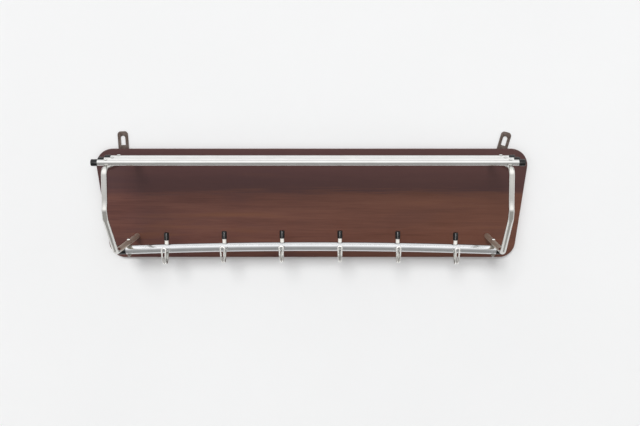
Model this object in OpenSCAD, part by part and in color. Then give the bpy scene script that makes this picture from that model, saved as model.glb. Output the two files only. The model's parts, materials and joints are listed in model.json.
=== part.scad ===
// Wall coat rack: a wooden backboard with a hat shelf of three tubes and a rail of six wire hooks.
// Millimetres. X runs along the rack, the wall is the plane Y = 0 and the viewer is at -Y, Z is up.
// The origin is on the wall, midway between the two hanger plates, level with the tops of their slots.

/* [Backboard] */
// Width of the board at its widest
board_w = 1000; // [800:5:1400]
// Height of the board
board_h = 255; // [230:1:340]
// Thickness of the board
board_t = 12; // [9:0.5:22]
// Radius of the four corners
corner_r = 38; // [15:1:55]
// Lean of each side, inwards going down
side_lean = 7.3; // [0:0.1:12]

/* [Side frames] */
// Outside diameter of the bent tubes
frame_d = 12; // [10:0.5:16]
// Wall of the bent tubes
frame_wall = 1; // [0.8:0.1:1.5]
// Distance from the board's widest edge to a side frame
frame_inset = 90; // [60:1:150]
// How far the front upper corner of a side frame stands off the board
frame_reach = 276; // [230:1:340]
// How much further out the knee stands than that, as the front leans outwards going down
knee_more = 6; // [0:0.5:12]
// Height of the knee below the top edge of the board
knee_drop = 121; // [95:1:130]
// Distance from the board to the lower corner of a side frame
corner_out = 205; // [160:1:230]
// Height of the lower arm above the bottom edge of the board
low_arm_up = 51; // [38:1:60]
// Bend radius of the front upper corner
top_bend_r = 12; // [11:0.5:24]
// Bend radius of the knee and of the lower corner
low_bend_r = 20; // [16:1:34]

/* [Hat shelf] */
// Outside diameter of the shelf tubes
shelf_d = 12; // [10:0.5:16]
// Wall of the shelf tubes
shelf_wall = 1; // [0.8:0.1:1.5]
// Depth of the shelf tubes' centre line below the top edge of the board
shelf_drop = 9; // [4:0.5:20]
// Distance from the front upper bend back to the front shelf tube
shelf_front = 4; // [4:0.5:20]
// Distance from one shelf tube to the next
shelf_pitch = 54.5; // [30:0.5:80]
// Bare tube that stands past each side frame
shelf_past = 17; // [12:0.5:40]
// Length of tube that an end cap covers
cap_cover = 10; // [6:0.5:15]
// Wall of an end cap's sleeve
cap_wall = 1; // [0.8:0.1:2]
// Thickness of an end cap's closed end
cap_end = 3; // [1.5:0.5:5]

/* [Hook rail] */
// Outside diameter of the hook rail
rail_d = 21; // [18:0.5:26]
// Wall of the hook rail
rail_wall = 1.5; // [1:0.1:2]
// Distance from the board to the hook rail
rail_out = 86; // [60:1:110]
// Rise of the middle of the rail over its bolts
rail_rise = 7.5; // [4:0.1:12]
// Bare rail that stands past each side frame
rail_past = 6; // [4:0.5:20]
// Length of the head of a rail end plug
plug_head = 18; // [10:0.5:25]
// Length of an end plug inside the rail
plug_shank = 15; // [12:0.5:25]
// Diameter of the recess in the outer end of a plug
plug_dish = 12; // [6:0.5:14]
// Depth of that recess
dish_depth = 3; // [1:0.5:6]

/* [Hooks] */
// Distance from a side frame to its nearest hook
hook_margin = 85; // [50:1:120]
// Diameter of the hook wire
wire_d = 3.6; // [3.2:0.1:4.6]
// Gap between the two wires of a hook where they pass through the rail
wire_gap = 0.3; // [0.3:0.1:1]
// Bend radius of the bottom of a hook
hook_bend_r = 19; // [15:0.5:25]
// Depth of the bottom of a hook's wire below the rail's centre line
hook_drop = 31.5; // [28:0.5:40]
// Height of the centre of a hook's round nose over the rail's centre line
nose_rise = 3; // [0:0.5:10]
// Radius of a hook's round nose, to the middle of the wire
nose_r = 4.4; // [4:0.1:7]
// Height of a hook's cap over the rail
stem_show = 8; // [6:0.5:15]
// Diameter of a hook's cap
knob_d = 11.5; // [10.8:0.1:17]
// Length of a hook's cap
knob_h = 17.5; // [14:0.5:25]
// Bevel round the top of a hook's cap
knob_bevel = 1.2; // [0.4:0.1:2]
// Length of stem held inside a hook's cap
stem_in = 12; // [8:0.5:12]
// Wall of the sleeve round a hook's stem
sleeve_wall = 0.4; // [0.4:0.1:1]
// Length of that sleeve inside the rail
sleeve_in = 10; // [5:0.5:14]

/* [Hanger plates] */
// Width of a hanger plate
plate_w = 24; // [20:0.5:30]
// Thickness of a hanger plate
plate_t = 2; // [1.8:0.1:3]
// Height of a plate over its pivot
plate_up = 62; // [58:0.5:80]
// Length of a plate below its pivot
plate_down = 12; // [9:0.5:16]
// Radius of a plate's upper corners
plate_r = 8; // [4:0.5:10]
// Distance from the board's widest edge to a plate's pivot
plate_inset = 63; // [55:1:80]
// Depth of the pivot below the top edge of the board
pivot_drop = 22; // [14:0.5:30]
// Width of a hanging slot
slot_w = 10.6; // [6:0.1:12]
// Top of a hanging slot over the pivot
slot_top = 52; // [46:0.5:54]
// Height of a hanging slot
slot_h = 22; // [14:0.5:24]
// Outward lean of the left plate
lean_left = 2.5; // [0:0.5:20]
// Outward lean of the right plate
lean_right = 15; // [0:0.5:20]

/* [Fasteners] */
// Diameter of a pivot screw's shank
pivot_d = 4; // [3:0.1:4.5]
// Diameter of a pivot screw's head
pivot_head_d = 6.6; // [5.5:0.1:8]
// Length of a pivot screw in the board
pivot_grip = 8; // [5:0.5:8]
// Diameter of the screws that hold the shelf tubes
shelf_screw_d = 4; // [3:0.5:5]
// Diameter of the heads of those screws
shelf_head_d = 8.5; // [7:0.5:10]
// Height of the heads of those screws
shelf_head_h = 2.4; // [1.8:0.1:3]
// Width over the points of the sockets in those heads
shelf_socket_d = 3.6; // [2.5:0.1:4.5]
// Length of those screws inside a side frame, whose upper wall they thread into
shelf_grip = 7.5; // [4:0.5:8]
// Diameter of the bolts that hold the hook rail
rail_bolt_d = 5; // [4:0.5:6]
// Diameter of the heads of those bolts
rail_head_d = 9.5; // [8:0.5:12]
// Height of the heads of those bolts
rail_head_h = 3; // [2:0.5:4]
// Width over the points of the sockets in those heads
rail_socket_d = 4; // [3:0.1:5.5]
// Thickness of the floor under the socket of a head
socket_floor = 1.1; // [0.8:0.1:1.4]
// Width over the points of the nuts under the rail
rail_nut_d = 9.2; // [8:0.1:12]
// Height of the nuts under the rail
rail_nut_h = 4; // [3:0.5:6]
// Length of bolt that shows under its nut
bolt_past = 2.5; // [1:0.5:5]
// Diameter of the screws that hold the side frames to the board
frame_screw_d = 5; // [4:0.5:6]
// Diameter of the heads of those screws
frame_head_d = 9.6; // [8:0.1:12]
// Length of a threaded insert in the end of a side frame
insert_len = 20; // [12:1:30]
// Length of a frame screw inside its insert
frame_grip = 15; // [8:1:20]

/* [Fits] */
// Clearance on the radius round a screw in a plain hole
hole_clear = 0.15; // [0.1:0.05:0.3]
// Clearance on the radius of a sleeve or plug fit
slip = 0.05; // [0.02:0.01:0.1]
// Clearance on the radius between a pivot screw and its plate
pivot_clear = 0.06; // [0.03:0.01:0.1]
// Gap between a plate and the board
plate_gap = 0.3; // [0.2:0.1:0.6]
// Gap between two crossing tubes that are bolted together
seat_gap = 0.05; // [0.02:0.01:0.1]
// Gap between the end of a screw and the bottom of its hole
end_gap = 0.3; // [0.1:0.1:0.5]
// Depth of a pivot screw's head below the back of its plate
pivot_sink = 0.1; // [0:0.05:0.2]
// Depth of a frame screw's head below the back of the board
frame_sink = 0.2; // [0:0.05:0.4]

/* [Hidden] */
$fn = 64;
ROD_FN = 48;
BEND_FN = 120;
ARC_FN = 3600;
HEX = 6;
CORNER_STEPS = 16;
EPS = 0.5;
BEND_LAP = 0.1;
BEND_EASE = 0.01;
SIDES = [-1, 1];

// Number of hooks, each with a node of its own
hook_count = 6;

back_y = -(plate_t + plate_gap);
front_y = back_y - board_t;
top_z = pivot_drop - slot_top;

frame_x = board_w / 2 - frame_inset;
top_arm_drop = shelf_drop + shelf_d / 2 + seat_gap + frame_d / 2;
low_arm_drop = board_h - low_arm_up;
frame_bore_r = frame_d / 2 - frame_wall;
// Corners of a side frame's centre line, as distance from the board and height from its top edge
frame_path = [[0, -top_arm_drop], [frame_reach, -top_arm_drop],
              [frame_reach + knee_more, -knee_drop], [corner_out, -low_arm_drop], [0, -low_arm_drop]];
frame_bends = [0, top_bend_r, low_bend_r, low_bend_r, 0];
arm_drops = [top_arm_drop, low_arm_drop];

// Distances from the board to the shelf tubes, the rear one first
shelf_outs = [for (i = [2:-1:0]) frame_reach - top_bend_r - shelf_front - i * shelf_pitch];
cap_start = frame_x + shelf_past;
shelf_half = cap_start + cap_cover;

rail_drop = low_arm_drop + frame_d / 2 + seat_gap + rail_d / 2;
rail_arc_r = (frame_x * frame_x + rail_rise * rail_rise) / (2 * rail_rise);
rail_half_turn = asin((frame_x + rail_past) / rail_arc_r);
// The rail slopes at its bolts, so each level nut is lowered until its outer corner is clear
rail_nut_gap = rail_nut_d / 2 * tan(asin(frame_x / rail_arc_r)) + seat_gap;

hook_first = frame_x - hook_margin;
hook_pitch = 2 * hook_first / (hook_count - 1);
wire_x = wire_gap / 2 + wire_d / 2;
stem_r = wire_x + wire_d / 2;
hook_hole_r = stem_r + 2 * hole_clear;
sleeve_r = stem_r + slip + sleeve_wall;
// Lean of each front wire, so that both run smoothly into the round nose
nose_reach = nose_rise + hook_drop;
nose_lean = 2 * atan((nose_reach - sqrt(nose_reach * nose_reach - nose_r * nose_r + wire_x * wire_x))
                     / (nose_r + wire_x));
leg_len = nose_reach * cos(nose_lean) - wire_x * sin(nose_lean);

plate_x = board_w / 2 - plate_inset;
pivot_z = top_z - pivot_drop;
pivot_head_h = (pivot_head_d - pivot_d) / 2;
frame_head_h = (frame_head_d - frame_screw_d) / 2;

// Height of the hook rail's centre line at a distance along the rack, from the board's top edge
function rail_height(x) = -rail_drop - (rail_arc_r - rail_rise) + sqrt(rail_arc_r * rail_arc_r - x * x);

// Place along the rack of hook number i, counted from 0 at the left
function hook_x(i) = -hook_first + i * hook_pitch;

// Direction of a path's straight number i, in degrees
function heading(path, i) = atan2(path[i + 1][1] - path[i][1], path[i + 1][0] - path[i][0]);

// Turn at a path's corner number i, in degrees, always to the same side
function turn(path, i) = let (t = heading(path, i - 1) - heading(path, i)) t < 0 ? t + 360 : t;

// Length that the bend at corner i takes from the straights on both sides of it
function bend_cut(path, bends, i) =
    i == 0 || i == len(path) - 1 ? 0 : bends[i] * tan(turn(path, i) / 2);

// Steps for bent_rod() along a path, with end_more of extra rod at both ends
function path_steps(path, bends, end_more) = [for (i = [0:len(path) - 2])
    let (last = len(path) - 2,
         whole = norm(path[i + 1] - path[i]) - bend_cut(path, bends, i) - bend_cut(path, bends, i + 1),
         more = (i == 0 ? end_more : 0) + (i == last ? end_more : 0))
    [whole + more, 0, i == last ? 0 : bends[i + 1], i == last ? 0 : turn(path, i + 1)]];

// Moves children to a place given along the rack, out from the board and up from its top edge
module place(x, out, up) {
    translate([x, front_y - out, top_z + up]) children();
}

// Round rod that starts along z, where each step is [straight length, roll, bend radius, bend angle]
// and a bend turns from z towards x. A straight laps over the bends beside it, which are a hair thinner.
module bent_rod(steps, r, i = 0) {
    if (i < len(steps)) {
        straight = steps[i][0];
        bend_r = steps[i][2];
        angle = steps[i][3];
        before = i > 0 ? BEND_LAP : 0;
        after = angle > 0 ? BEND_LAP : 0;
        translate([0, 0, -before]) cylinder(h = before + straight + after, r = r, $fn = ROD_FN);
        translate([0, 0, straight]) rotate(steps[i][1]) translate([bend_r, 0, 0]) {
            if (angle > 0) rotate([90, 0, 180]) rotate_extrude(angle = angle, $fn = BEND_FN)
                translate([bend_r, 0]) circle(r = r - BEND_EASE, $fn = ROD_FN);
            rotate([0, angle, 0]) translate([-bend_r, 0, 0]) bent_rod(steps, r, i + 1);
        }
    }
}

// Rod along X
module rod_x(r, half) {
    rotate([0, 90, 0]) cylinder(h = 2 * half, r = r, center = true);
}

// Screw head with a domed top and a six-sided socket, standing on z = 0
module domed_head(d, h, socket_d) {
    ball_r = (d * d / 4 + h * h) / (2 * h);
    difference() {
        intersection() {
            cylinder(h = h, d = d);
            translate([0, 0, h - ball_r]) sphere(r = ball_r);
        }
        translate([0, 0, socket_floor]) cylinder(h = h, d = socket_d, $fn = HEX);
    }
}

// Half of the board's width at a height under its top edge, along the straight sides
function side_at(up) = board_w / 2 - corner_r + corner_r / cos(side_lean)
    + (up + corner_r) * tan(side_lean);

// Outline of the board, with its y up from the top edge
module board_outline() {
    ups = [-corner_r, corner_r - board_h];
    polygon([for (s = SIDES, k = s > 0 ? [0, 1] : [1, 0], j = [0:CORNER_STEPS])
        let (x = side_at(ups[k]) - corner_r / cos(side_lean),
             // The arc runs from the level edge to the leaning side, and back on the left
             from = k == 0 ? 90 : -90,
             share = (s > 0) == (k == 0) ? j : CORNER_STEPS - j,
             a = from + (-side_lean - from) * share / CORNER_STEPS)
        [s * (x + corner_r * cos(a)), ups[k] + corner_r * sin(a)]]);
}

module backboard() {
    color("#4a2420") difference() {
        translate([0, back_y, top_z]) rotate([90, 0, 0]) linear_extrude(board_t) board_outline();
        for (s = SIDES, drop = arm_drops)
            translate([s * frame_x, back_y, top_z - drop]) rotate([90, 0, 0]) {
                translate([0, 0, -EPS]) cylinder(h = board_t + 2 * EPS, r = frame_screw_d / 2 + hole_clear);
                cylinder(h = frame_head_h + frame_sink, r1 = frame_head_d / 2 + frame_sink + hole_clear,
                         r2 = frame_screw_d / 2 + hole_clear);
            }
        for (s = SIDES)
            translate([s * plate_x, back_y, pivot_z]) rotate([90, 0, 0])
                cylinder(h = pivot_grip + end_gap, r = pivot_d / 2 + slip);
    }
}

// Hanger plate with its pivot at the origin, its back on y = 0 and its slot upwards
module hanger_plate() {
    arm = plate_w / 2 - plate_r;
    difference() {
        union() {
            translate([-plate_w / 2, -plate_t, -plate_down])
                cube([plate_w, plate_t, plate_down + plate_up - plate_r]);
            translate([-arm, -plate_t, 0]) cube([2 * arm, plate_t, plate_up]);
            for (s = SIDES)
                translate([s * arm, 0, plate_up - plate_r]) rotate([90, 0, 0])
                    cylinder(h = plate_t, r = plate_r);
        }
        translate([-slot_w / 2, -plate_t - EPS, slot_top - slot_h])
            cube([slot_w, plate_t + 2 * EPS, slot_h - slot_w / 2]);
        translate([0, EPS, slot_top - slot_w / 2]) rotate([90, 0, 0])
            cylinder(h = plate_t + 2 * EPS, d = slot_w);
        translate([0, EPS, 0]) rotate([90, 0, 0])
            cylinder(h = plate_t + 2 * EPS, r = pivot_d / 2 + pivot_clear);
        rotate([90, 0, 0]) cylinder(h = pivot_head_h + pivot_sink,
            r1 = pivot_head_d / 2 + pivot_sink + pivot_clear, r2 = pivot_d / 2 + pivot_clear);
    }
}

module hanger_plate_at(s, lean) {
    color("#6e6258") translate([s * plate_x, 0, pivot_z]) rotate([0, s * lean, 0]) hanger_plate();
}

module hanger_screws() {
    color("silver") for (s = SIDES)
        translate([s * plate_x, -pivot_sink, pivot_z]) rotate([90, 0, 0]) {
            cylinder(h = pivot_head_h, r1 = pivot_head_d / 2, r2 = pivot_d / 2);
            cylinder(h = plate_t + plate_gap - pivot_sink + pivot_grip, d = pivot_d);
        }
}

module side_frame(s) {
    color("gainsboro") difference() {
        place(s * frame_x, 0, -top_arm_drop) rotate([90, 90, 0]) difference() {
            bent_rod(path_steps(frame_path, frame_bends, 0), frame_d / 2);
            translate([0, 0, -EPS]) bent_rod(path_steps(frame_path, frame_bends, EPS), frame_bore_r);
        }
        for (out = shelf_outs)
            place(s * frame_x, out, -top_arm_drop) cylinder(h = frame_d, r = shelf_screw_d / 2 + slip);
        place(s * frame_x, rail_out, -low_arm_drop)
            cylinder(h = 2 * frame_d, r = rail_bolt_d / 2 + hole_clear, center = true);
    }
}

module frame_inserts() {
    color("darkgray") for (s = SIDES, drop = arm_drops)
        place(s * frame_x, 0, -drop) rotate([90, 0, 0]) difference() {
            cylinder(h = insert_len, r = frame_bore_r - slip);
            translate([0, 0, -EPS]) cylinder(h = insert_len + 2 * EPS, r = frame_screw_d / 2 + slip);
        }
}

module frame_screws() {
    color("silver") for (s = SIDES, drop = arm_drops)
        translate([s * frame_x, back_y - frame_sink, top_z - drop]) rotate([90, 0, 0]) {
            cylinder(h = frame_head_h, r1 = frame_head_d / 2, r2 = frame_screw_d / 2);
            cylinder(h = board_t - frame_sink + frame_grip, d = frame_screw_d);
        }
}

module hat_tube(out) {
    color("whitesmoke") difference() {
        place(0, out, -shelf_drop) rod_x(shelf_d / 2, shelf_half);
        place(0, out, -shelf_drop) rod_x(shelf_d / 2 - shelf_wall, shelf_half + EPS);
        for (s = SIDES)
            place(s * frame_x, out, -shelf_drop)
                cylinder(h = 2 * shelf_d, r = shelf_screw_d / 2 + hole_clear, center = true);
    }
}

module hat_cap(s, out) {
    color("#1c1c1e") place(s * cap_start, out, -shelf_drop) rotate([0, s * 90, 0]) difference() {
        cylinder(h = cap_cover + cap_end, r = shelf_d / 2 + slip + cap_wall);
        translate([0, 0, -EPS]) cylinder(h = cap_cover + slip + EPS, r = shelf_d / 2 + slip);
    }
}

module hat_tube_screws() {
    shank = shelf_d + seat_gap + shelf_grip;
    color("silver") for (s = SIDES, out = shelf_outs)
        place(s * frame_x, out, -shelf_drop + shelf_d / 2) {
            domed_head(shelf_head_d, shelf_head_h, shelf_socket_d);
            translate([0, 0, -shank]) cylinder(h = shank + EPS, d = shelf_screw_d);
        }
}

// Places children on the hook rail's centre line, turned with it, at an angle from its middle
module on_rail(angle) {
    place(0, rail_out, -rail_drop + rail_rise - rail_arc_r) rotate([0, angle, 0])
        translate([0, 0, rail_arc_r]) children();
}

module hook_rail() {
    color("gainsboro") difference() {
        place(0, rail_out, -rail_drop + rail_rise - rail_arc_r) rotate([90, 0, 0])
            rotate(90 - rail_half_turn) rotate_extrude(angle = 2 * rail_half_turn, $fn = ARC_FN)
                translate([rail_arc_r, 0]) difference() {
                    circle(d = rail_d);
                    circle(d = rail_d - 2 * rail_wall);
                }
        for (i = [0:hook_count - 1])
            place(hook_x(i), rail_out, rail_height(hook_x(i))) {
                cylinder(h = 2 * rail_d, r = hook_hole_r, center = true);
                cylinder(h = rail_d, r = sleeve_r + 2 * hole_clear);
            }
        for (s = SIDES)
            place(s * frame_x, rail_out, rail_height(frame_x))
                cylinder(h = 2 * rail_d, r = rail_bolt_d / 2 + hole_clear, center = true);
    }
}

module rail_plug(s) {
    shank_r = rail_d / 2 - rail_wall - slip;
    color("#1c1c1e") difference() {
        on_rail(s * rail_half_turn) rotate([0, s * 90, 0]) difference() {
            union() {
                translate([0, 0, -plug_shank]) cylinder(h = plug_shank + EPS, r = shank_r);
                cylinder(h = plug_head, d = rail_d);
            }
            translate([0, 0, plug_head - dish_depth]) cylinder(h = plug_head, d = plug_dish);
        }
        place(s * frame_x, rail_out, rail_height(frame_x))
            cylinder(h = 2 * rail_d, r = rail_bolt_d / 2 + hole_clear, center = true);
    }
}

module rail_bolts() {
    span = frame_d + seat_gap + rail_d + rail_nut_gap + rail_nut_h + bolt_past;
    color("silver") for (s = SIDES)
        place(s * frame_x, rail_out, -low_arm_drop + frame_d / 2) {
            domed_head(rail_head_d, rail_head_h, rail_socket_d);
            translate([0, 0, -span]) cylinder(h = span + EPS, d = rail_bolt_d);
        }
}

module rail_nuts() {
    color("silver") for (s = SIDES)
        place(s * frame_x, rail_out, -rail_drop - rail_d / 2 - rail_nut_gap - rail_nut_h) difference() {
            cylinder(h = rail_nut_h, d = rail_nut_d, $fn = HEX);
            translate([0, 0, -EPS]) cylinder(h = rail_nut_h + 2 * EPS, r = rail_bolt_d / 2 + slip);
        }
}

// Wire hook bent double, with its stem on the vertical through the rail's centre line at x
module hook(x) {
    stem_top = rail_d / 2 + stem_show + stem_in;
    stem = stem_top + hook_drop - hook_bend_r;
    leg = leg_len - hook_bend_r;
    steps = [[stem, 0, hook_bend_r, 90], [0, nose_lean, hook_bend_r, 90],
             [leg, -90, nose_r, 180 + 2 * nose_lean],
             [leg, 90, hook_bend_r, 90], [0, -nose_lean, hook_bend_r, 90], [stem, 0, 0, 0]];
    color("gainsboro") place(x, rail_out, rail_height(x))
        translate([-wire_x, 0, stem_top]) rotate([180, 0, -90]) bent_rod(steps, wire_d / 2);
}

// Pale sleeve round a hook's two wires, from inside the rail to the end of the stem
module hook_sleeve(x) {
    length = sleeve_in + stem_show + stem_in;
    color("#e6ddc8") place(x, rail_out, rail_height(x) + rail_d / 2 - sleeve_in) difference() {
        cylinder(h = length, r = sleeve_r);
        translate([0, 0, -EPS]) cylinder(h = length + 2 * EPS, r = stem_r + slip);
    }
}

module hook_cap(x) {
    color("#1c1c1e") place(x, rail_out, rail_height(x) + rail_d / 2 + stem_show) difference() {
        union() {
            cylinder(h = knob_h - knob_bevel, d = knob_d);
            translate([0, 0, knob_h - knob_bevel])
                cylinder(h = knob_bevel, d1 = knob_d, d2 = knob_d - 2 * knob_bevel);
        }
        translate([0, 0, -EPS]) cylinder(h = stem_in + slip + EPS, r = sleeve_r + slip);
    }
}

backboard();
hanger_plate_at(-1, lean_left);  // hanger_plate_left
hanger_plate_at(1, lean_right);  // hanger_plate_right
hanger_screws();
side_frame(-1);  // side_frame_left
side_frame(1);  // side_frame_right
frame_inserts();
frame_screws();
hat_tube(shelf_outs[0]);  // hat_tube_rear
hat_tube(shelf_outs[1]);  // hat_tube_middle
hat_tube(shelf_outs[2]);  // hat_tube_front
hat_cap(-1, shelf_outs[0]);  // hat_cap_rear_left
hat_cap(1, shelf_outs[0]);  // hat_cap_rear_right
hat_cap(-1, shelf_outs[1]);  // hat_cap_middle_left
hat_cap(1, shelf_outs[1]);  // hat_cap_middle_right
hat_cap(-1, shelf_outs[2]);  // hat_cap_front_left
hat_cap(1, shelf_outs[2]);  // hat_cap_front_right
hat_tube_screws();
hook_rail();
rail_plug(-1);  // rail_plug_left
rail_plug(1);  // rail_plug_right
rail_bolts();
rail_nuts();
hook(hook_x(0));  // hook_1
hook(hook_x(1));  // hook_2
hook(hook_x(2));  // hook_3
hook(hook_x(3));  // hook_4
hook(hook_x(4));  // hook_5
hook(hook_x(5));  // hook_6
hook_sleeve(hook_x(0));  // hook_sleeve_1
hook_sleeve(hook_x(1));  // hook_sleeve_2
hook_sleeve(hook_x(2));  // hook_sleeve_3
hook_sleeve(hook_x(3));  // hook_sleeve_4
hook_sleeve(hook_x(4));  // hook_sleeve_5
hook_sleeve(hook_x(5));  // hook_sleeve_6
hook_cap(hook_x(0));  // hook_cap_1
hook_cap(hook_x(1));  // hook_cap_2
hook_cap(hook_x(2));  // hook_cap_3
hook_cap(hook_x(3));  // hook_cap_4
hook_cap(hook_x(4));  // hook_cap_5
hook_cap(hook_x(5));  // hook_cap_6
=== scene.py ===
"""Looks of a wall coat rack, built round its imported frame.

Metres, in the frame's own axes: X runs along the rack, the wall is the plane Y = 0 with the
viewer at -Y, and Z is up. Sizes come from the frame's nodes where a node shows them.
"""

import json
import logging
import math
from dataclasses import dataclass, field
from enum import Enum
from typing import Callable, Iterable, Sequence

import bmesh
import bpy
from mathutils import Matrix, Vector

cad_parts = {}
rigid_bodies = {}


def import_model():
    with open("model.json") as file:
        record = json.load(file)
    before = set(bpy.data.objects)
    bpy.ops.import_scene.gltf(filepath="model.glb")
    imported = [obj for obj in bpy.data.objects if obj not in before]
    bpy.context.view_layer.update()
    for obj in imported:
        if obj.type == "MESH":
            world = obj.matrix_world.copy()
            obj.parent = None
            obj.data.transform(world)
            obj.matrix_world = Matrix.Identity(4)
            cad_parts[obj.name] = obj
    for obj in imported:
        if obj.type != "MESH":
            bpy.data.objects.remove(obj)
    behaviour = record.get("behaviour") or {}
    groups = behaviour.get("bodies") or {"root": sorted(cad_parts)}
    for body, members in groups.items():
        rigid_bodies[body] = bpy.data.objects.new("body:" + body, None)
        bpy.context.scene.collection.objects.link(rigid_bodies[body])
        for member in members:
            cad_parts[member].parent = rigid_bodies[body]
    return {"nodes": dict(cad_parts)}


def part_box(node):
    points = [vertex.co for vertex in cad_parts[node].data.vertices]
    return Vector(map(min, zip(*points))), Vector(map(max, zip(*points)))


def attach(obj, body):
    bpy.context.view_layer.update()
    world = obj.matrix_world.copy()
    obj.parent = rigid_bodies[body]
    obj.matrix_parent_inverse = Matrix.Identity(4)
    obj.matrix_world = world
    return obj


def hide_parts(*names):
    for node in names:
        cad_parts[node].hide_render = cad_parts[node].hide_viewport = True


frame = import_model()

LOG = logging.getLogger("coat_rack")
ROOT = "root"
MERGE = 1e-6
# Faces that meet at less than FLAT_DEG are one face, an edge past CREASE_DEG is shaded sharp, and
# one past SHARP_DEG may be eased
FLAT_DEG = 0.5
CREASE_DEG = 35.0
SHARP_DEG = 40.0
ROUND_STEPS = 48
CROWN_STEPS = 6
# The range that nearly all of a noise's values lie in
NOISE_SPAN = (0.3, 0.7)

Colour = tuple[float, float, float]
Lengths = tuple[float, float, float]
Corners = list[tuple[Vector, float]]
Value = object
Inputs = dict[str | int, Value]
Socket = bpy.types.NodeSocket
Material = bpy.types.Material
Piece = bpy.types.Object


class Place(Enum):
    """A choice whose name, in small letters, is part of the names of nodes and pieces."""

    @property
    def word(self) -> str:
        """The choice's name inside those names."""
        return self.name.lower()


class Side(Place):
    """An end of the rack, with the sign of its X."""

    LEFT = -1
    RIGHT = 1

    @property
    def outwards(self) -> Matrix:
        """The turn that lays a turned shape's axis along X, away from the rack."""
        return Matrix.Rotation(self.value * math.pi / 2, 4, "Y")


class Row(Place):
    """A tube of the hat shelf, counted from the wall outwards."""

    REAR = 0
    MIDDLE = 1
    FRONT = 2


@dataclass(frozen=True)
class NodeBox:
    """Lowest and highest corner of one node of the frame, at rest."""

    low: Vector
    high: Vector

    @classmethod
    def of(cls, node: str) -> "NodeBox":
        """Measure a node of the frame."""
        return cls(*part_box(node))

    @property
    def centre(self) -> Vector:
        """The middle of the box."""
        return (self.low + self.high) / 2

    @property
    def foot(self) -> Vector:
        """The middle of the box's lower face."""
        return Vector((self.centre.x, self.centre.y, self.low.z))

    @property
    def size(self) -> Vector:
        """The box's lengths along X, Y and Z."""
        return self.high - self.low


class TreeBuilder:
    """Adds nodes to one node tree and joins their sockets."""

    def __init__(self, tree: bpy.types.NodeTree) -> None:
        """Keep the tree that the nodes go into."""
        self.tree = tree

    def add(self, kind: str, inputs: Inputs | None = None, **settings: object) -> bpy.types.Node:
        """Add a node.

        Args:
            kind: the node's type.
            inputs: values or other nodes' outputs, by the input's name or number.
            settings: properties of the node itself.

        Returns:
            The new node.
        """
        node = self.tree.nodes.new(kind)
        for name, value in settings.items():
            setattr(node, name, value)
        for key, value in (inputs or {}).items():
            self.fill(node.inputs[key], value)
        return node

    def fill(self, socket: Socket, value: Value) -> None:
        """Link an output to an input, or set the input's own value.

        Args:
            socket: the input.
            value: an output or a plain value.
        """
        if isinstance(value, Socket):
            self.tree.links.new(value, socket)
        else:
            socket.default_value = value

    def maths(self, operation: str, *values: Value) -> Socket:
        """Work out one operation on its values and return the result."""
        return self.add("ShaderNodeMath", dict(enumerate(values)), operation=operation).outputs[0]

    def along(self, axis: str) -> Socket:
        """Add the place along one of the object's own axes, X, Y or Z."""
        place = self.add("ShaderNodeTexCoord").outputs["Object"]
        return self.add("ShaderNodeSeparateXYZ", {0: place}).outputs[axis]

    def ramp(self, factor: Value, stops: Sequence[tuple[float, Colour]]) -> Socket:
        """Add a colour ramp.

        Args:
            factor: the output that drives the ramp.
            stops: positions and their colours, at least two, in rising order.

        Returns:
            The ramp's colour output.
        """
        node = self.add("ShaderNodeValToRGB", {"Fac": factor})
        elements = node.color_ramp.elements
        while len(elements) < len(stops):
            elements.new(1.0)
        for element, (place, colour) in zip(elements, stops):
            element.position = place
            element.color = (*colour, 1.0)
        return node.outputs["Color"]

    def remap(self, value: Value, start: float, end: float, low: Value = 0.0, high: Value = 1.0,
              soft: bool = False) -> Socket:
        """Map one range of a value to another, and hold it outside that range.

        Args:
            value: the output that is mapped.
            start: where the range starts.
            end: where it ends, below start where it runs downwards.
            low: the result at the start.
            high: the result at the end.
            soft: whether the result starts and ends gently.

        Returns:
            The mapped value.
        """
        node = self.add("ShaderNodeMapRange", {"Value": value, "From Min": start, "From Max": end,
                                               "To Min": low, "To Max": high},
                        interpolation_type="SMOOTHSTEP" if soft else "LINEAR")
        return node.outputs["Result"]

    def spread(self, noise: Value, low: float, high: float) -> Socket:
        """Map a noise's usual span to a range and return the result."""
        return self.remap(noise, *NOISE_SPAN, low, high)

    def blend(self, factor: Value, first: Value, second: Value) -> Socket:
        """Mix two colours.

        Args:
            factor: share of the second colour.
            first: a colour or an output.
            second: a colour or an output.

        Returns:
            The mixed colour.
        """
        node = self.add("ShaderNodeMix", {"Factor": factor}, data_type="RGBA")
        for socket, value in ((node.inputs[6], first), (node.inputs[7], second)):
            self.fill(socket, (*value, 1.0) if isinstance(value, tuple) else value)
        return node.outputs[2]

    def noise(self, size: Lengths, detail: float = 3.0, twist: float = 0.0) -> Socket:
        """Add a noise on object coordinates.

        Args:
            size: length of the noise's features along X, Y and Z.
            detail: number of finer layers.
            twist: how far the noise is distorted by itself.

        Returns:
            The noise's value.
        """
        place = self.add("ShaderNodeTexCoord").outputs["Object"]
        scaled = self.add("ShaderNodeMapping", {"Vector": place, "Scale": [1 / length for length in size]})
        node = self.add("ShaderNodeTexNoise", {"Vector": scaled.outputs["Vector"], "Scale": 1.0,
                                               "Detail": detail, "Distortion": twist})
        return node.outputs["Fac"]


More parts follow.
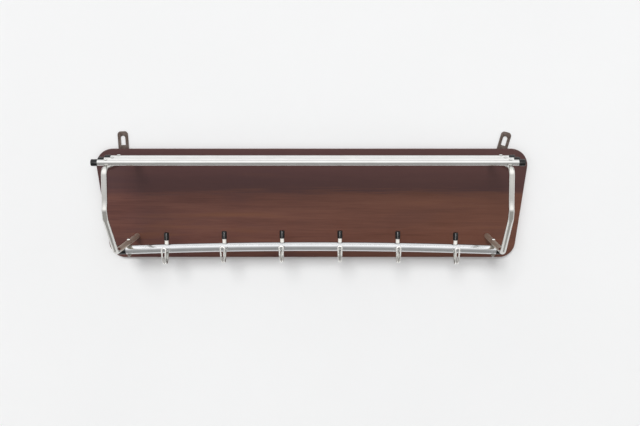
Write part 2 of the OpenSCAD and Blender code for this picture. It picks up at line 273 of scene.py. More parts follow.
class SurfaceBuilder(TreeBuilder):
    """Builds one material round a principled shader."""

    def __init__(self, name: str, **constants: Value) -> None:
        """Start a material.

        Args:
            name: the material's name.
            constants: values of the shader's own inputs that are the same all over.
        """
        self.material = bpy.data.materials.new(name)
        self.material.use_nodes = True
        super().__init__(self.material.node_tree)
        self.shader = self.tree.nodes["Principled BSDF"]
        for key, value in constants.items():
            self.shader.inputs[key.replace("_", " ")].default_value = value

    def drive(self, key: str, value: Socket) -> None:
        """Feed an input of the shader from an output."""
        self.fill(self.shader.inputs[key], value)

    def bump(self, height: Socket, depth: float, strength: float = 1.0) -> None:
        """Raise the surface along a height, on top of what raises it already.

        Args:
            height: the output that gives the height, from 0 to 1.
            depth: real height of the whole range.
            strength: share of the bump that is used.
        """
        under = self.shader.inputs["Normal"]
        inputs: Inputs = {"Height": height, "Distance": depth, "Strength": strength}
        if under.is_linked:
            inputs["Normal"] = under.links[0].from_socket
        self.drive("Normal", self.add("ShaderNodeBump", inputs).outputs["Normal"])


@dataclass(frozen=True)
class Chrome:
    """Bright chrome plate with faint smears, the slight waves of drawn tube and fine pores."""

    name: str
    bright: Colour = (0.72, 0.72, 0.71)
    dull: Colour = (0.64, 0.635, 0.62)
    dull_share: float = 0.7
    smooth: float = 0.05
    smeared: float = 0.12
    smear_size: Lengths = (0.05, 0.05, 0.05)
    smear_detail: float = 6.0
    smear_twist: float = 0.6
    wave_size: Lengths = (0.25, 0.06, 0.06)
    wave_detail: float = 1.0
    wave_depth: float = 0.00001
    pore_size: Lengths = (0.0012, 0.0012, 0.0012)
    pore_detail: float = 2.0
    pore_depth: float = 0.000001
    # Tone and roughness where a finish has painted light, which is painted shade or a painted reflection
    worn: Colour = (0.50, 0.50, 0.47)
    worn_rough: float = 0.3

    def worn_share(self, make: SurfaceBuilder) -> Socket | None:
        """Say where the painted light lies, which is nowhere on most pieces."""
        return None

    def material(self) -> Material:
        """Build the finish.

        Returns:
            The material.
        """
        make = SurfaceBuilder(self.name, Metallic=1.0)
        smear = make.noise(self.smear_size, self.smear_detail, self.smear_twist)
        colour = make.blend(make.spread(smear, 0.0, self.dull_share), self.bright, self.dull)
        gloss = make.spread(smear, self.smooth, self.smeared)
        # Where the finish has painted light, blend its tone and roughness in
        share = self.worn_share(make)
        if share is not None:
            colour = make.blend(share, colour, self.worn)
            gloss = make.remap(share, 0.0, 1.0, gloss, self.worn_rough)
        make.drive("Base Color", colour)
        make.drive("Roughness", gloss)
        make.bump(make.noise(self.wave_size, self.wave_detail), self.wave_depth)
        make.bump(make.noise(self.pore_size, self.pore_detail), self.pore_depth)
        return make.material


@dataclass(frozen=True)
class FrameChrome(Chrome):
    """Chrome plate made rougher along the lower arms, behind their front corner, with a darker, brownish tone
    there that is a painted reflection.
    """

    # The lower arms' darker, brownish tone is a painted reflection, on rougher plate
    worn: Colour = (0.66, 0.59, 0.50)
    worn_rough: float = 0.52
    worn_top: float = -0.215
    worn_front: float = -0.205
    worn_blur: float = 0.015

    def worn_share(self, make: SurfaceBuilder) -> Socket:
        """Say where the painted reflection lies, which is low down and well back.

        Args:
            make: the finish under construction.

        Returns:
            The share of painted reflection.
        """
        below = make.remap(make.along("Z"), self.worn_top, self.worn_top - self.worn_blur, soft=True)
        behind = make.remap(make.along("Y"), self.worn_front, self.worn_front + self.worn_blur, soft=True)
        return make.maths("MULTIPLY", below, behind)


@dataclass(frozen=True)
class HookChrome(Chrome):
    """Chrome plate with painted shade on the stems, behind the hooks' noses: a darker, rougher plate there.
    """

    # The stems are painted darker, as painted shade, from here back towards the wall
    worn_front: float = -0.121
    worn_blur: float = 0.008

    def worn_share(self, make: SurfaceBuilder) -> Socket:
        """Say where the stems' painted shade lies, which is behind the noses."""
        return make.remap(make.along("Y"), self.worn_front, self.worn_front + self.worn_blur, soft=True)


@dataclass(frozen=True)
class Clouded:
    """A finish that changes between two tones and glosses like a cloud, over a fine grain."""

    name: str
    tone: Colour
    other_tone: Colour
    rough: float
    other_rough: float
    size: Lengths
    detail: float = 3.0
    twist: float = 0.0
    metal: float = 0.0
    shine: float = 0.5
    grain_size: Lengths = (0.0012, 0.0012, 0.0012)
    grain_detail: float = 3.0
    grain_depth: float = 0.0
    grain_share: float = 1.0

    def material(self) -> Material:
        """Build the finish.

        Returns:
            The material.
        """
        make = SurfaceBuilder(self.name, Metallic=self.metal, Specular_IOR_Level=self.shine)
        cloud = make.noise(self.size, self.detail, self.twist)
        make.drive("Base Color", make.blend(make.spread(cloud, 0.0, 1.0), self.tone, self.other_tone))
        make.drive("Roughness", make.spread(cloud, self.rough, self.other_rough))
        if self.grain_depth:
            make.bump(make.noise(self.grain_size, self.grain_detail), self.grain_depth, self.grain_share)
        return make.material


@dataclass(frozen=True)
class BlackPlastic(Clouded):
    """Moulded black plastic, half gloss, with a faint grain and handling marks."""

    tone: Colour = (0.004, 0.004, 0.0045)
    other_tone: Colour = (0.010, 0.010, 0.0105)
    rough: float = 0.26
    other_rough: float = 0.34
    size: Lengths = (0.008, 0.008, 0.012)
    detail: float = 5.0
    shine: float = 0.3
    grain_size: Lengths = (0.0004, 0.0004, 0.0004)
    grain_detail: float = 2.0
    grain_depth: float = 0.000012


@dataclass(frozen=True)
class CreamNylon(Clouded):
    """Moulded nylon in a pale cream, half gloss."""

    name: str = "cream_nylon"
    tone: Colour = (0.93, 0.91, 0.86)
    other_tone: Colour = (0.89, 0.865, 0.80)
    rough: float = 0.3
    other_rough: float = 0.42
    size: Lengths = (0.004, 0.004, 0.006)


@dataclass(frozen=True)
class PlateSteel(Clouded):
    """Stamped steel gone brown-grey, rubbed bright in places."""

    name: str = "hanger_steel"
    tone: Colour = (0.085, 0.056, 0.044)
    other_tone: Colour = (0.200, 0.158, 0.138)
    rough: float = 0.6
    other_rough: float = 0.36
    size: Lengths = (0.012, 0.012, 0.016)
    detail: float = 6.0
    twist: float = 0.5
    metal: float = 0.55
    grain_depth: float = 0.00003
    grain_share: float = 0.7


@dataclass(frozen=True)
class ZincPlate(Clouded):
    """Plain zinc plate with a cloudy grain."""

    name: str = "zinc_steel"
    tone: Colour = (0.36, 0.36, 0.35)
    other_tone: Colour = (0.56, 0.56, 0.54)
    rough: float = 0.45
    other_rough: float = 0.3
    size: Lengths = (0.002, 0.002, 0.002)
    detail: float = 4.0
    metal: float = 1.0


@dataclass(frozen=True)
class Veneer:
    """Dark red-brown veneer under satin lacquer, with its grain along X."""

    name: str = "board_veneer"
    tones: tuple[tuple[float, Colour], ...] = ((0.33, (0.076, 0.028, 0.023)), (0.47, (0.111, 0.042, 0.033)),
                                               (0.62, (0.148, 0.060, 0.044)))
    amber: Colour = (0.190, 0.074, 0.030)
    amber_start: float = -0.4
    amber_end: float = 0.3
    amber_share: float = 0.27
    glow: tuple[tuple[float, Colour], ...] = ((0.55, (0, 0, 0)), (0.70, (0.5, 0.5, 0.5)))
    plum: Colour = (0.080, 0.034, 0.035)
    plum_span: tuple[float, float] = (-0.5, 0.6)
    band_size: Lengths = (0.42, 0.42, 0.022)
    band_twist: float = 0.4
    figure_size: Lengths = (0.11, 0.11, 0.0042)
    figure_detail: float = 5.0
    figure_twist: float = 0.8
    figure_share: float = 0.45
    figure_depth: float = 0.00006
    figure_bump: float = 0.5
    fibre_size: Lengths = (0.035, 0.035, 0.0006)
    fibre_share: float = 0.22
    fibre_depth: float = 0.00003
    fibre_bump: float = 0.6
    patch_size: Lengths = (0.24, 0.24, 0.07)
    patch_detail: float = 2.0
    patch_and_band: float = 0.5
    lacquer_low: float = 0.3
    lacquer_high: float = 0.42
    lacquer_shine: float = 0.32
    # A darker band along the top of the board: its tone, its lower edge, its softness and its strength
    heartwood: Colour = (0.063, 0.028, 0.029)
    heart_edge: float = -0.130
    heart_blur: float = 0.011
    heart_share: float = 0.8

    def material(self) -> Material:
        """Build the finish.

        Returns:
            The material.
        """
        make = SurfaceBuilder(self.name, Specular_IOR_Level=self.lacquer_shine)
        band = make.noise(self.band_size, twist=self.band_twist)
        figure = make.noise(self.figure_size, self.figure_detail, self.figure_twist)
        fibre = make.noise(self.fibre_size)
        patch = make.noise(self.patch_size, self.patch_detail)
        grain = make.blend(self.figure_share, band, figure)
        wood = make.ramp(make.blend(self.fibre_share, grain, fibre), self.tones)
        wood = make.blend(make.spread(patch, *self.plum_span), wood, self.plum)
        rightwards = make.remap(make.along("X"), self.amber_start, self.amber_end, 0.0, self.amber_share)
        wood = make.blend(rightwards, wood, self.amber)
        glowing = make.ramp(make.blend(self.patch_and_band, patch, band), self.glow)
        wood = make.blend(glowing, wood, self.amber)
        make.drive("Base Color", make.blend(self.heart(make, figure), wood, self.heartwood))
        make.drive("Roughness", make.spread(figure, self.lacquer_low, self.lacquer_high))
        make.bump(figure, self.figure_depth, self.figure_bump)
        make.bump(fibre, self.fibre_depth, self.fibre_bump)
        return make.material

    def heart(self, make: SurfaceBuilder, grain: Socket) -> Socket:
        """Add the share of the darker band that lies along the top of the board.

        Args:
            make: the finish under construction.
            grain: the output that its edge wanders with.

        Returns:
            The share of heartwood.
        """
        wander = make.spread(grain, -self.heart_blur, self.heart_blur)
        level = make.maths("ADD", make.along("Z"), wander)
        return make.remap(level, self.heart_edge - self.heart_blur, self.heart_edge + self.heart_blur, 0.0,
                          self.heart_share, soft=True)


@dataclass(frozen=True)
class BackingPaper:
    """Plain brown backing sheet on the hidden face of the board."""

    name: str = "board_backing"
    pale: Colour = (0.20, 0.115, 0.070)
    dark: Colour = (0.13, 0.070, 0.042)
    cloud_size: Lengths = (0.06, 0.06, 0.03)
    cloud_detail: float = 6.0
    fleck_size: Lengths = (0.003, 0.003, 0.0012)
    fleck_share: float = 0.5
    fleck_depth: float = 0.00008
    smooth: float = 0.6
    rough: float = 0.85

    def material(self) -> Material:
        """Build the finish.

        Returns:
            The material.
        """
        make = SurfaceBuilder(self.name)
        cloud = make.noise(self.cloud_size, self.cloud_detail)
        fleck = make.noise(self.fleck_size)
        make.drive("Base Color", make.blend(make.blend(self.fleck_share, cloud, fleck), self.dark, self.pale))
        make.drive("Roughness", make.spread(fleck, self.smooth, self.rough))
        make.bump(fleck, self.fleck_depth)
        return make.material


def new_piece(name: str, mesh: bpy.types.Mesh) -> Piece:
    """Put a mesh into the scene as a piece.

    Args:
        name: the piece's name.
        mesh: its mesh.

    Returns:
        The new piece.
    """
    piece = bpy.data.objects.new(name, mesh)
    bpy.context.scene.collection.objects.link(piece)
    return piece


def smooth(mesh: bpy.types.Mesh) -> None:
    """Shade a mesh smooth, apart from its creases."""
    mesh.shade_smooth()
    mesh.set_sharp_from_angle(angle=math.radians(CREASE_DEG))


def finish_piece(piece: Piece, body: str, node: str) -> None:
    """Give a piece its body and the node that it stands for, and report it.

    Args:
        piece: the finished piece, with its place in its mesh.
        body: the body that it moves with.
        node: the node that it replaces.
    """
    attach(piece, body)
    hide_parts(node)
    LOG.info("%s: %d faces, rides on %s", piece.name, len(piece.data.polygons), body)


def arc(centre: tuple[float, float], radius: float, start_deg: float, end_deg: float,
        steps: int) -> list[tuple[float, float]]:
    """Points along an arc.

    Args:
        centre: the arc's centre.
        radius: its radius.
        start_deg: angle of the first point.
        end_deg: angle of the last point.
        steps: number of straight steps between them.

    Returns:
        steps + 1 points.
    """
    angles = [math.radians(start_deg + (end_deg - start_deg) * i / steps) for i in range(steps + 1)]
    return [(centre[0] + radius * math.cos(a), centre[1] + radius * math.sin(a)) for a in angles]


@dataclass(frozen=True)
class Ring:
    """One ring of a turned shape. A six-sided ring's radius reaches its corners."""

    radius: float
    height: float
    six_sided: bool = False

    def point(self, angle: float) -> Vector:
        """Find a point of the ring.

        Args:
            angle: the point's angle, in radians.

        Returns:
            The point.
        """
        radius = self.radius
        if self.six_sided:
            sixth = math.pi / 3
            radius *= math.cos(sixth / 2) / math.cos(angle % sixth - sixth / 2)
        return Vector((radius * math.cos(angle), radius * math.sin(angle), self.height))


def capped(radius: float, length: float, rim: float, crown: float) -> list[Ring]:
    """Outline of a closed cap, from its foot to its rounded end.

    Args:
        radius: the cap's outer radius.
        length: its whole length.
        rim: size of the eased edge at its foot.
        crown: radius of the edge at its end.

    Returns:
        The rings of the cap.
    """
    outline = [(0.0, 0.0), (radius - rim, 0.0), (radius, rim),
               *arc((radius - crown, length - crown), crown, 0, 90, CROWN_STEPS), (0.0, length)]
    return [Ring(*point) for point in outline]


def turned(name: str, rings: Sequence[Ring], place: Matrix, steps: int = ROUND_STEPS,
           hollow: bool = False) -> bpy.types.Mesh:
    """Make a closed turned mesh.

    Args:
        name: the mesh's name.
        rings: the outline from one end to the other. Rings of no radius close an end.
        place: where the shape's own axis, Z, and its origin lie.
        steps: points round each ring, a multiple of six.
        hollow: whether the last ring joins the first, as round a bore.

    Returns:
        The mesh, with its place in its vertices.
    """
    shape = bmesh.new()
    loops = []
    for ring in rings:
        count = 1 if ring.radius == 0 else steps
        loops.append([shape.verts.new(place @ ring.point(2 * math.pi * i / steps)) for i in range(count)])
    pairs = list(zip(loops, loops[1:])) + ([(loops[-1], loops[0])] if hollow else [])
    for under, over in pairs:
        for i in range(steps):
            j = (i + 1) % steps
            corners = [under[i % len(under)], under[j % len(under)], over[j % len(over)], over[i % len(over)]]
            shape.faces.new(dict.fromkeys(corners))
    bmesh.ops.recalc_face_normals(shape, faces=shape.faces)
    mesh = bpy.data.meshes.new(name)
    shape.to_mesh(mesh)
    shape.free()
    smooth(mesh)
    return mesh


def turned_piece(name: str, rings: Sequence[Ring], place: Matrix, finish: Material, node: str,
                 steps: int = ROUND_STEPS, hollow: bool = False) -> None:
    """Make a turned piece of the rack's fixed body.

    Args:
        name: the piece's name.
        rings: its outline, as turned takes it.
        place: where its own axis, Z, and its origin lie.
        finish: its material.
        node: the node that it replaces.
        steps: points round each ring.
        hollow: whether its outline goes round a bore.
    """
    mesh = turned(name, rings, place, steps, hollow)
    mesh.materials.append(finish)
    finish_piece(new_piece(name, mesh), ROOT, node)


class PieceTree:
    """A geometry node tree that makes one kind of piece in the material of its input Finish."""

    def __init__(self, name: str, kinds: dict[str, str]) -> None:
        """Start the tree.

        Args:
            name: the tree's name.
            kinds: the tree's other inputs, with the kind of each one's socket.
        """
        self.tree = bpy.data.node_groups.new(name, "GeometryNodeTree")
        self.make = TreeBuilder(self.tree)
        face = self.tree.interface
        self.inputs = {key: face.new_socket(key, in_out="INPUT", socket_type="NodeSocket" + kind).identifier
                       for key, kind in {**kinds, "Finish": "Material"}.items()}
        face.new_socket("Result", in_out="OUTPUT", socket_type="NodeSocketGeometry")
        self.given = self.make.add("NodeGroupInput").outputs

    def end_with_tube(self, line: Socket) -> None:
        """End the tree with a round tube, from the inputs Round and Radius.

        Args:
            line: the tube's centre line.
        """
        ring = self.make.add("GeometryNodeCurvePrimitiveCircle",
                             {"Resolution": self.given["Round"], "Radius": self.given["Radius"]})
        swept = self.make.add("GeometryNodeCurveToMesh",
                              {"Curve": line, "Profile Curve": ring.outputs["Curve"], "Fill Caps": True})
        self.end_with(swept.outputs["Mesh"])

    def end_with(self, shape: Socket) -> None:
        """End the tree with a shape, made real and dressed.

        Args:
            shape: the shape's geometry.
        """
        whole = self.make.add("GeometryNodeRealizeInstances", {"Geometry": shape})
        dressed = self.make.add("GeometryNodeSetMaterial", {"Geometry": whole.outputs["Geometry"],
                                                            "Material": self.given["Finish"]})
        self.make.add("NodeGroupOutput", {"Result": dressed.outputs["Geometry"]})

    def run(self, piece: Piece, values: dict[str, Value]) -> Piece:
        """Run the tree on a piece and keep its result as the piece's plain mesh.

        Args:
            piece: the object that carries the tree's own input.
            values: what each other input is set to.

        Returns:
            The same piece.
        """
        modifier = piece.modifiers.new(self.tree.name, "NODES")
        modifier.node_group = self.tree
        for name, value in values.items():
            modifier[self.inputs[name]] = value
        graph = bpy.context.evaluated_depsgraph_get()
        mesh = bpy.data.meshes.new_from_object(piece.evaluated_get(graph), depsgraph=graph)
        piece.modifiers.remove(modifier)
        piece.data = mesh
        mesh.name = piece.name
        smooth(mesh)
        return piece


class TubeTree(PieceTree):
    """Sweeps a round tube along a bent path.

    The path is the object's own line of points, whose attribute BEND gives each corner's radius.
    """

    BEND = "bend_radius"

    def __init__(self) -> None:
        """Build the tree once."""
        super().__init__("bent_tube", {"Path": "Geometry", "Radius": "Float", "Round": "Int", "Steps": "Int"})
        bend = self.make.add("GeometryNodeInputNamedAttribute", {"Name": self.BEND}, data_type="FLOAT")
        line = self.make.add("GeometryNodeMeshToCurve", {"Mesh": self.given["Path"]})
        bent = self.make.add("GeometryNodeFilletCurve", {
            "Curve": line.outputs["Curve"], "Count": self.given["Steps"], "Radius": bend.outputs["Attribute"],
            "Limit Radius": False}, mode="POLY")
        self.end_with_tube(bent.outputs["Curve"])

    def sweep(self, name: str, path: Corners, radius: float, finish: Material, around: int = ROUND_STEPS,
              steps: int = 20) -> Piece:
        """Make a tube.

        Args:
            name: the piece's name.
            path: corners of the tube's centre line, each with its bend radius.
            radius: the tube's outer radius.
            finish: its material.
            around: points round the tube.
            steps: straight steps of each bend.

        Returns:
            The piece, as a plain mesh.
        """
        mesh = bpy.data.meshes.new(name)
        mesh.from_pydata([tuple(p) for p, _ in path], [(i, i + 1) for i in range(len(path) - 1)], [])
        bends = mesh.attributes.new(self.BEND, "FLOAT", "POINT")
        bends.data.foreach_set("value", [bend for _, bend in path])
        return self.run(new_piece(name, mesh), {"Radius": radius, "Round": around, "Steps": steps,
                                                "Finish": finish})


class ArchTree(PieceTree):
    """Makes a round tube along a shallow arch in the plane of X and Z, with its crown uppermost."""

    def __init__(self) -> None:
        """Build the tree once."""
        super().__init__("arched_tube", {"Crown": "Vector", "Arch radius": "Float", "Reach": "Float",
                                         "Radius": "Float", "Round": "Int", "Steps": "Int"})
        make, given = self.make, self.given
        line = make.add("GeometryNodeCurvePrimitiveLine", {"Start": (-1, 0, 0), "End": (1, 0, 0)})
        points = make.add("GeometryNodeResampleCurve", {"Curve": line.outputs["Curve"],
                                                        "Count": make.maths("ADD", given["Steps"], 1.0)})
        point = make.add("GeometryNodeInputPosition").outputs[0]
        share = make.add("ShaderNodeSeparateXYZ", {0: point}).outputs["X"]
        along = make.maths("MULTIPLY", share, given["Reach"])
        angle = make.maths("ARCSINE", make.maths("DIVIDE", along, given["Arch radius"]))
        fall = make.maths("SUBTRACT", make.maths("COSINE", angle), 1.0)
        height = make.maths("MULTIPLY", fall, given["Arch radius"])
        shift = make.add("ShaderNodeCombineXYZ", {"X": along, "Z": height})
        place = make.add("ShaderNodeVectorMath", {0: shift.outputs[0], 1: given["Crown"]}, operation="ADD")
        arch = make.add("GeometryNodeSetPosition", {"Geometry": points.outputs["Curve"],
                                                    "Position": place.outputs[0]})
        self.end_with_tube(arch.outputs["Geometry"])


class FastenerTree(PieceTree):
    """Sets one turned fastener at the points of a level grid, each turned by chance."""

    SEED = 1

    def __init__(self) -> None:
        """Build the tree once."""
        super().__init__("fastener_grid", {"Fastener": "Object", "Centre": "Vector", "Width": "Float",
                                           "Depth": "Float", "Columns": "Int", "Rows": "Int", "Seed": "Int"})
        make, given = self.make, self.given
        grid = make.add("GeometryNodeMeshGrid", {"Size X": given["Width"], "Size Y": given["Depth"],
                                                 "Vertices X": given["Columns"], "Vertices Y": given["Rows"]})
        points = make.add("GeometryNodeSetPosition", {"Geometry": grid.outputs["Mesh"],
                                                      "Offset": given["Centre"]})
        spin = make.add("FunctionNodeRandomValue", {"Seed": given["Seed"], 2: 0.0, 3: 2 * math.pi},
                        data_type="FLOAT")
        turn = make.add("ShaderNodeCombineXYZ", {"Z": spin.outputs[1]})
        thing = make.add("GeometryNodeObjectInfo", {"Object": given["Fastener"]})
        copies = make.add("GeometryNodeInstanceOnPoints", {
            "Points": points.outputs["Geometry"], "Instance": thing.outputs["Geometry"],
            "Rotation": turn.outputs[0]})
        self.end_with(copies.outputs["Instances"])

    def place(self, name: str, node: str, rings: Sequence[Ring], half: tuple[float, float], level: float,
              counts: tuple[int, int], finish: Material, hollow: bool = False) -> None:
        """Make one set of like fasteners where its node has them.

        Args:
            name: the piece's name.
            node: the node that it replaces.
            rings: outline of one fastener, round its own Z.
            half: half a fastener's width along X and along Y.
            level: Z of the outline's height 0.
            counts: number of fasteners along X and Y.
            finish: their material.
            hollow: whether the outline goes round a bore.
        """
        box = NodeBox.of(node)
        pattern = new_piece(name + "_pattern", turned(name, rings, Matrix.Identity(4), hollow=hollow))
        piece = self.run(new_piece(name, bpy.data.meshes.new(name)), {
            "Fastener": pattern, "Centre": Vector((box.centre.x, box.centre.y, level)),
            "Width": box.size.x - 2 * half[0], "Depth": box.size.y - 2 * half[1], "Columns": counts[0],
            "Rows": counts[1], "Seed": self.SEED, "Finish": finish})
        bpy.data.objects.remove(pattern)
        finish_piece(piece, ROOT, node)


def copied_node(name: str, node: str, easing: float, chosen: Callable[[bmesh.types.BMEdge], bool],
                steps: int) -> Piece:
    """Copy a node's mesh, join its loose triangles and ease some of its edges.

    Args:
        name: the piece's name.
        node: the node to copy.
        easing: radius of the eased edges.
        chosen: tells which sharp edges are eased.
        steps: steps of the easing.

    Returns:
        The piece, without a material.
    """
    shape = bmesh.new()
    shape.from_mesh(frame["nodes"][node].data)
    bmesh.ops.remove_doubles(shape, verts=shape.verts, dist=MERGE)
    bmesh.ops.dissolve_limit(shape, angle_limit=math.radians(FLAT_DEG), verts=shape.verts, edges=shape.edges)
    shape.normal_update()
    edges = [e for e in shape.edges if e.calc_face_angle(0) > math.radians(SHARP_DEG) and chosen(e)]
    bmesh.ops.bevel(shape, geom=edges, offset=easing, segments=steps, profile=0.5, affect="EDGES")
    mesh = bpy.data.meshes.new(name)
    shape.to_mesh(mesh)
    shape.free()
    smooth(mesh)
    return new_piece(name, mesh)


@dataclass
class Backboard:
    """The board, with eased front edges and a plain sheet on its back."""

    easing: float = 0.0014
    easing_steps: int = 3
    slack: float = 0.00005
    side_most: float = 0.5
    back_least: float = 0.9
    finish: Veneer = Veneer()
    backing: BackingPaper = BackingPaper()
    box: NodeBox = field(default_factory=lambda: NodeBox.of("backboard"))

    @property
    def front(self) -> float:
        """Y of the board's front face."""
        return self.box.low.y

    @property
    def top(self) -> float:
        """Z of the board's top edge."""
        return self.box.high.z

    def on_rim(self, edge: bmesh.types.BMEdge) -> bool:
        """Tell whether an edge lies on the board's outline, which is convex, and not round a hole.

        Args:
            edge: an edge of the board's mesh.

        Returns:
            Whether it lies on the outline.
        """
        points = [v.co for v in frame["nodes"]["backboard"].data.vertices]
        place = edge.verts[0].co
        sides = [face.normal for face in edge.link_faces if abs(face.normal.y) < self.side_most]
        return any(max(side.dot(p) for p in points) - side.dot(place) < self.slack for side in sides)

    def build(self) -> None:
        """Make the board and dress it."""
        piece = copied_node("board", "backboard", self.easing, self.on_rim, self.easing_steps)
        piece.data.materials.append(self.finish.material())
        piece.data.materials.append(self.backing.material())
        for face in piece.data.polygons:
            face.material_index = 1 if face.normal.y > self.back_least else 0
        finish_piece(piece, ROOT, "backboard")


@dataclass
class HangerPlates:
    """The two slotted plates that the rack hangs on, each turning on its own body."""

    easing: float = 0.0003
    easing_steps: int = 2
    finish: PlateSteel = PlateSteel()

    def build(self) -> None:
        """Make both plates and dress them."""
        steel = self.finish.material()
        for side in Side:
            node = f"hanger_plate_{side.word}"
            piece = copied_node(f"plate_{side.word}", node, self.easing, lambda edge: True, self.easing_steps)
            piece.data.materials.append(steel)
            finish_piece(piece, f"hanger_{side.word}", node)


@dataclass
class SideFrames:
    """The two bent tubes that carry the shelf and the rail, each with a low hump over its knee."""

    tubes: TubeTree
    board: Backboard
    front_reach: float = 0.276
    knee_more: float = 0.006
    knee_drop: float = 0.121
    corner_out: float = 0.205
    top_bend: float = 0.012
    low_bend: float = 0.020
    bend_steps: int = 12
    hump_start: float = 0.040
    hump_crest: float = 0.017
    hump_height: float = 0.0034
    hump_steps: int = 6
    hump_bend: float = 0.03
    crest_bend: float = 0.008
    knee_back: float = 0.002
    finish: FrameChrome = FrameChrome("frame_chrome", bright=(0.74, 0.73, 0.69))

    def path(self, box: NodeBox) -> Corners:
        """Corners of a frame's centre line, with a bend radius for each.

        Args:
            box: the box of the frame's node.

        Returns:
            The corners, from the board along the upper arm and back along the lower one.
        """
        x, radius, front = box.centre.x, box.size.x / 2, self.board.front
        high, low = box.high.z - radius, box.low.z + radius
        upper = Vector((x, front - self.front_reach, high))
        knee = Vector((x, upper.y - self.knee_more, self.board.top - self.knee_drop))
        corners = [(Vector((x, front, high)), 0.0), (upper, self.top_bend)]
        for step in range(self.hump_steps + 1):
            share = step / self.hump_steps
            over = self.hump_start + (self.hump_crest - self.hump_start) * share
            point = knee.lerp(upper, over / (upper.z - knee.z))
            point.y -= self.hump_height * share ** 2
            corners.append((point, self.hump_bend if share < 1 else self.crest_bend))
        corners += [(knee + Vector((0, self.knee_back, 0)), self.low_bend),
                    (Vector((x, front - self.corner_out, low)), self.low_bend),
                    (Vector((x, front, low)), 0.0)]
        return corners

    def build(self) -> None:
        """Make both frames."""
        chrome = self.finish.material()
        for side in Side:
            node = f"side_frame_{side.word}"
            box = NodeBox.of(node)
            piece = self.tubes.sweep(f"frame_tube_{side.word}", self.path(box), box.size.x / 2, chrome,
                                     steps=self.bend_steps)
            finish_piece(piece, ROOT, node)


@dataclass
class HatShelf:
    """The three straight tubes of the hat shelf, with their end caps."""

    tubes: TubeTree
    cap_rim: float = 0.0003
    cap_crown: float = 0.0018
    finish: Chrome = Chrome("shelf_chrome")
    caps: BlackPlastic = BlackPlastic("cap_plastic")

    def build(self) -> None:
        """Make the tubes and their caps."""
        chrome, plastic = self.finish.material(), self.caps.material()
        for row in Row:
            node = f"hat_tube_{row.word}"
            box = NodeBox.of(node)
            ends = [(Vector((x, box.centre.y, box.centre.z)), 0.0) for x in (box.low.x, box.high.x)]
            piece = self.tubes.sweep(f"shelf_tube_{row.word}", ends, box.size.z / 2, chrome)
            finish_piece(piece, ROOT, node)
            for side in Side:
                node = f"hat_cap_{row.word}_{side.word}"
                box = NodeBox.of(node)
                mouth = box.low.x if side is Side.RIGHT else box.high.x
                place = Matrix.Translation((mouth, box.centre.y, box.centre.z)) @ side.outwards
                rings = capped(box.size.z / 2, box.size.x, self.cap_rim, self.cap_crown)
                turned_piece(f"end_cap_{row.word}_{side.word}", rings, place, plastic, node)


@dataclass
class HookRail:
    """The arched rail under the lower arms, with a plug in each end."""

    arches: ArchTree
    rise: float = 0.0075
    around: int = 64
    steps: int = 96
    wall: float = 0.0016
    plug_round: float = 0.0012
    plug_seam: float = 0.0002
    plug_shank: float = 0.015
    plug_steps: int = 60
    plug_round_steps: int = 5
    head_length: float = 0.018
    dish_radius: float = 0.006
    dish_depth: float = 0.003
    dish_lip: float = 0.0005
    dish_lip_steps: int = 3
    finish: Chrome = Chrome("rail_chrome", bright=(0.70, 0.71, 0.72), dull=(0.62, 0.63, 0.64))
    plugs: BlackPlastic = BlackPlastic("plug_plastic")

    def __post_init__(self) -> None:
        """Work out the arch from the rail's bolts and its rise."""
        box, bolts = NodeBox.of("hook_rail"), NodeBox.of("rail_bolts")
        bolt_x = bolts.high.x - bolts.size.y / 2
        self.arch = (bolt_x ** 2 + self.rise ** 2) / (2 * self.rise)
        self.radius = box.size.y / 2
        self.crown = Vector((0, box.centre.y, box.high.z - self.radius))
        # The rail's ends are square to the arch, so each corner reaches a little further out
        self.half_turn = math.asin(box.high.x / (self.arch + self.radius))

    def height(self, x: float) -> float:
        """Z of the rail's centre line at a distance along the rack."""
        return self.crown.z - self.arch + math.sqrt(self.arch ** 2 - x ** 2)

    def build(self) -> None:
        """Make the rail and its plugs."""
        piece = new_piece("rail_tube", bpy.data.meshes.new("rail_tube"))
        self.arches.run(piece, {"Crown": self.crown, "Arch radius": self.arch, "Radius": self.radius,
                                "Reach": self.arch * math.sin(self.half_turn), "Round": self.around,
                                "Steps": self.steps, "Finish": self.finish.material()})
        finish_piece(piece, ROOT, "hook_rail")
        plastic = self.plugs.material()
        arch_centre = Matrix.Translation(self.crown - Vector((0, 0, self.arch)))
        for side in Side:
            place = (arch_centre @ Matrix.Rotation(side.value * self.half_turn, 4, "Y")
                     @ Matrix.Translation((0, 0, self.arch)) @ side.outwards)
            turned_piece(f"rail_end_{side.word}", self.plug_rings(), place, plastic,
                         f"rail_plug_{side.word}", self.plug_steps)

    def plug_rings(self) -> list[Ring]:
        """Outline of a plug from the end of its shank to its dish.

        Returns:
            The rings of the plug.
        """
        shank, edge, lip, length = self.radius - self.wall, self.plug_round, self.dish_lip, self.head_length
        outline = [(0.0, -self.plug_shank), (shank, -self.plug_shank), (shank, 0.0),
                   (self.radius - self.plug_seam, 0.0), (self.radius, self.plug_seam),
                   *arc((self.radius - edge, length - edge), edge, 0, 90, self.plug_round_steps),
                   *arc((self.dish_radius + lip, length - lip), lip, 90, 180, self.dish_lip_steps),
                   (self.dish_radius, length - self.dish_depth), (0.0, length - self.dish_depth)]
        return [Ring(*point) for point in outline]


